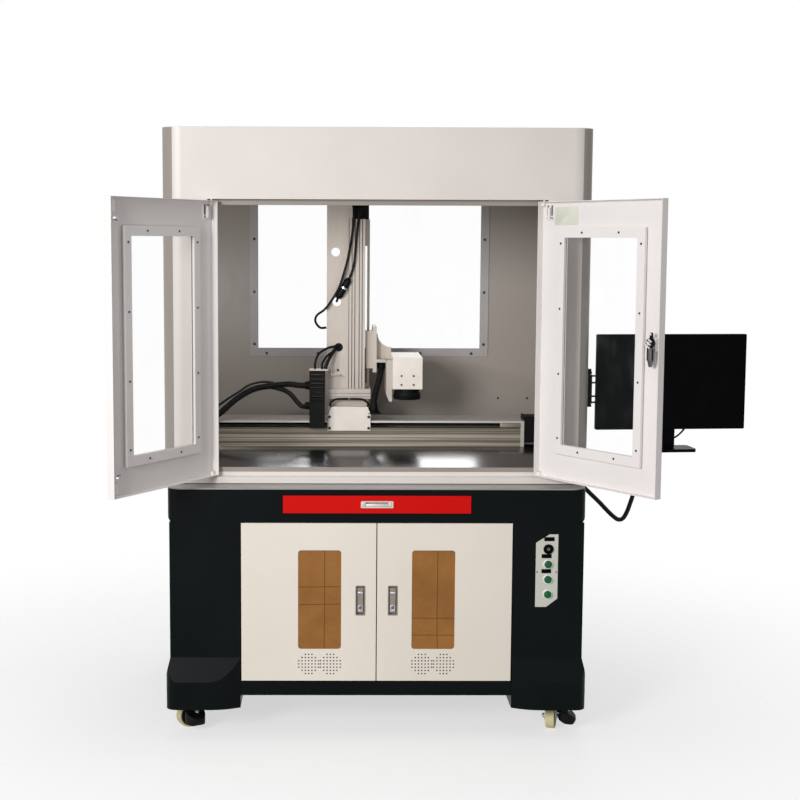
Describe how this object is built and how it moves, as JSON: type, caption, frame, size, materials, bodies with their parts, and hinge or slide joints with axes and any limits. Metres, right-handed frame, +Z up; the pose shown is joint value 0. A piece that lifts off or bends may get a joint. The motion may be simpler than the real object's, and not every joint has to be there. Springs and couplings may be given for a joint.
{
  "type": "fiber laser marking machine",
  "caption": "Enclosed marking machine: a hood with two swing doors over a worktable, a motor-driven scan head on a gantry, and a cabinet on castors with a side monitor.",
  "frame": {"origin": "on the floor, under the middle of the cabinet's footprint", "axes": "+X to the machine's right as seen from the front, +Y to the back, +Z up; the doors face -Y"},
  "size_m": [1.9521, 1.3593, 1.842],
  "materials": {
    "black_enamel": "near-black powder coat, low sheen",
    "cream_enamel": "cream powder coat, satin",
    "warm_white_enamel": "warm off-white powder coat, fine texture, satin",
    "red_enamel": "bright red gloss powder coat",
    "grey_beige_metal": "bead-blasted, clear anodised aluminium, slightly warm",
    "silver_anodised": "clear anodised aluminium, satin",
    "dark_steel": "ground steel, dark and reflective",
    "zinc_steel": "bright zinc plate",
    "clear_pane": "clear, polished",
    "masked_acrylic": "brown kraft masking film over acrylic",
    "black_plastic": "black moulded plastic, satin",
    "black_gloss": "black gloss plastic and screen",
    "black_motor": "black lacquered laminations",
    "black_rubber": "black cable sheath",
    "cream_tread": "cream polyurethane",
    "green_button": "green translucent plastic",
    "chrome_part": "polished chrome plate",
    "light_grey_metal": "light warm grey lacquer, satin",
    "grey_metal": "grey powder coat"
  },
  "bodies": {
    "machine": {"left_pedestal": "black_enamel", "right_pedestal": "black_enamel", "top_box": "black_enamel", "cabinet_shell": "black_enamel", "deck_plate": "warm_white_enamel", "worktable": "dark_steel", "hood_shell": "warm_white_enamel", "hood_rear_panel": "warm_white_enamel", "rear_window_frame": "warm_white_enamel", "rear_window_pane": "clear_pane", "control_plate": "cream_enamel", "switch_bodies": "silver_anodised", "module_body": "grey_beige_metal", "module_cover": "light_grey_metal", "x_motor": "black_motor", "arm_wall_plate": "black_enamel", "laser_source": "grey_metal", "computer": "black_enamel", "castor_mounts": "zinc_steel", "monitor_cable": "black_rubber"},
    "left_hood_door": {"left_hood_door": "warm_white_enamel", "left_hood_frame": "warm_white_enamel", "left_hood_pane": "clear_pane"},
    "upper_bolt": {"upper_door_bolt": "chrome_part"},
    "lower_bolt": {"lower_door_bolt": "chrome_part"},
    "right_hood_door": {"right_hood_door": "warm_white_enamel", "right_hood_frame": "warm_white_enamel", "right_hood_pane": "clear_pane"},
    "latch": {"door_latch": "chrome_part"},
    "left_cabinet_door": {"left_cabinet_door": "cream_enamel", "left_cabinet_pane": "masked_acrylic"},
    "left_lever": {"left_door_lever": "black_plastic"},
    "right_cabinet_door": {"right_cabinet_door": "cream_enamel", "right_cabinet_pane": "masked_acrylic"},
    "right_lever": {"right_door_lever": "black_plastic"},
    "drawer": {"drawer": "red_enamel", "drawer_handle": "silver_anodised"},
    "key": {"key_plug": "chrome_part"},
    "upper_button": {"upper_button": "green_button"},
    "middle_button": {"middle_button": "green_button"},
    "lower_button": {"lower_button": "green_button"},
    "left_fork": {"left_castor_fork": "zinc_steel"},
    "right_fork": {"right_castor_fork": "zinc_steel"},
    "front_left_wheel": {"front_left_wheel": "cream_tread"},
    "front_right_wheel": {"front_right_wheel": "cream_tread"},
    "rear_left_wheel": {"rear_left_wheel": "cream_tread"},
    "rear_right_wheel": {"rear_right_wheel": "cream_tread"},
    "left_pedal": {"left_brake_pedal": "black_plastic"},
    "right_pedal": {"right_brake_pedal": "black_plastic"},
    "x_axis": {"x_carriage": "light_grey_metal", "column": "grey_beige_metal", "z_motor": "black_motor", "cable_chain": "black_plastic", "carriage_cables": "black_rubber", "head_conduit": "black_rubber"},
    "z_axis": {"head_bracket": "grey_beige_metal", "scan_head": "light_grey_metal", "scan_lens": "black_motor"},
    "monitor_arm": {"monitor_arm": "black_enamel"},
    "monitor": {"monitor": "black_gloss"}
  },
  "joints": [
    {"name": "left_hood_door_hinge", "type": "hinge", "parent": "machine", "child": "left_hood_door", "pos_m": [-0.499, -0.405, 1.2], "axis": [0, 0, 1], "range_deg": [-9, 120.5]},
    {"name": "right_hood_door_hinge", "type": "hinge", "parent": "machine", "child": "right_hood_door", "pos_m": [0.499, -0.405, 1.2], "axis": [0, 0, -1], "range_deg": [-7, 123.5]},
    {"name": "upper_bolt_slide", "type": "slide", "parent": "left_hood_door", "child": "upper_bolt", "axis": [0, 0, 1], "range_m": [0, 0.012]},
    {"name": "lower_bolt_slide", "type": "slide", "parent": "left_hood_door", "child": "lower_bolt", "axis": [0, 0, -1], "range_m": [0, 0.012]},
    {"name": "latch_turn", "type": "hinge", "parent": "right_hood_door", "child": "latch", "pos_m": [0.76091, -0.79707, 1.222], "axis": [-0.8339, -0.5519, 0], "range_deg": [0, 90]},
    {"name": "left_cabinet_door_hinge", "type": "hinge", "parent": "machine", "child": "left_cabinet_door", "pos_m": [-0.403, -0.485, 0.4], "axis": [0, 0, -1], "range_deg": [0, 110]},
    {"name": "right_cabinet_door_hinge", "type": "hinge", "parent": "machine", "child": "right_cabinet_door", "pos_m": [0.403, -0.485, 0.4], "axis": [0, 0, 1], "range_deg": [0, 110]},
    {"name": "left_lever_hinge", "type": "hinge", "parent": "left_cabinet_door", "child": "left_lever", "pos_m": [-0.049, -0.484, 0.458], "axis": [-1, 0, 0], "range_deg": [0, 60], "stiffness_Nm_per_rad": 0.1},
    {"name": "right_lever_hinge", "type": "hinge", "parent": "right_cabinet_door", "child": "right_lever", "pos_m": [0.049, -0.484, 0.458], "axis": [-1, 0, 0], "range_deg": [0, 60], "stiffness_Nm_per_rad": 0.1},
    {"name": "drawer_slide", "type": "slide", "parent": "machine", "child": "drawer", "axis": [0, -1, 0], "range_m": [0, 0.35]},
    {"name": "key_turn", "type": "hinge", "parent": "machine", "child": "key", "pos_m": [0.517, -0.49, 0.583], "axis": [0, 1, 0], "range_deg": [0, 90]},
    {"name": "upper_button_press", "type": "slide", "parent": "machine", "child": "upper_button", "axis": [0, 1, 0], "range_m": [0, 0.004], "stiffness_N_per_m": 400},
    {"name": "middle_button_press", "type": "slide", "parent": "machine", "child": "middle_button", "axis": [0, 1, 0], "range_m": [0, 0.004], "stiffness_N_per_m": 400},
    {"name": "lower_button_press", "type": "slide", "parent": "machine", "child": "lower_button", "axis": [0, 1, 0], "range_m": [0, 0.004], "stiffness_N_per_m": 400},
    {"name": "left_castor_swivel", "type": "hinge", "parent": "machine", "child": "left_fork", "pos_m": [-0.555, -0.378, 0.086], "axis": [0, 0, 1], "continuous": true},
    {"name": "front_left_wheel_spin", "type": "hinge", "parent": "left_fork", "child": "front_left_wheel", "pos_m": [-0.57925, -0.392, 0.0375], "axis": [-0.5, 0.866, 0], "continuous": true},
    {"name": "left_pedal_rock", "type": "hinge", "parent": "left_fork", "child": "left_pedal", "pos_m": [-0.567, -0.41322, 0.054], "axis": [0.866, 0.5, 0], "range_deg": [0, 15]},
    {"name": "rear_left_wheel_spin", "type": "hinge", "parent": "machine", "child": "rear_left_wheel", "pos_m": [-0.555, 0.378, 0.0375], "axis": [1, 0, 0], "continuous": true},
    {"name": "right_castor_swivel", "type": "hinge", "parent": "machine", "child": "right_fork", "pos_m": [0.555, -0.378, 0.086], "axis": [0, 0, 1], "continuous": true},
    {"name": "front_right_wheel_spin", "type": "hinge", "parent": "right_fork", "child": "front_right_wheel", "pos_m": [0.54775, -0.40505, 0.0375], "axis": [-0.9659, 0.2588, 0], "continuous": true},
    {"name": "right_pedal_rock", "type": "hinge", "parent": "right_fork", "child": "right_pedal", "pos_m": [0.57142, -0.41139, 0.054], "axis": [0.2588, 0.9659, 0], "range_deg": [0, 15]},
    {"name": "rear_right_wheel_spin", "type": "hinge", "parent": "machine", "child": "rear_right_wheel", "pos_m": [0.555, 0.378, 0.0375], "axis": [1, 0, 0], "continuous": true},
    {"name": "x_axis_slide", "type": "slide", "parent": "machine", "child": "x_axis", "axis": [1, 0, 0], "range_m": [-0.36, 0.44], "deforming": ["carriage_cables"]},
    {"name": "z_axis_slide", "type": "slide", "parent": "x_axis", "child": "z_axis", "axis": [0, 0, 1], "range_m": [-0.05, 0.25], "deforming": ["head_conduit"]},
    {"name": "arm_swing", "type": "hinge", "parent": "machine", "child": "monitor_arm", "pos_m": [0.695, -0.11, 1.03], "axis": [0, 0, -1], "range_deg": [-25, 30], "deforming": ["monitor_cable"]},
    {"name": "monitor_pan", "type": "hinge", "parent": "monitor_arm", "child": "monitor", "pos_m": [0.94512, -0.07929, 1.03], "axis": [0, 0, -1], "range_deg": [-60, 6], "deforming": ["monitor_cable"]}
  ]
}
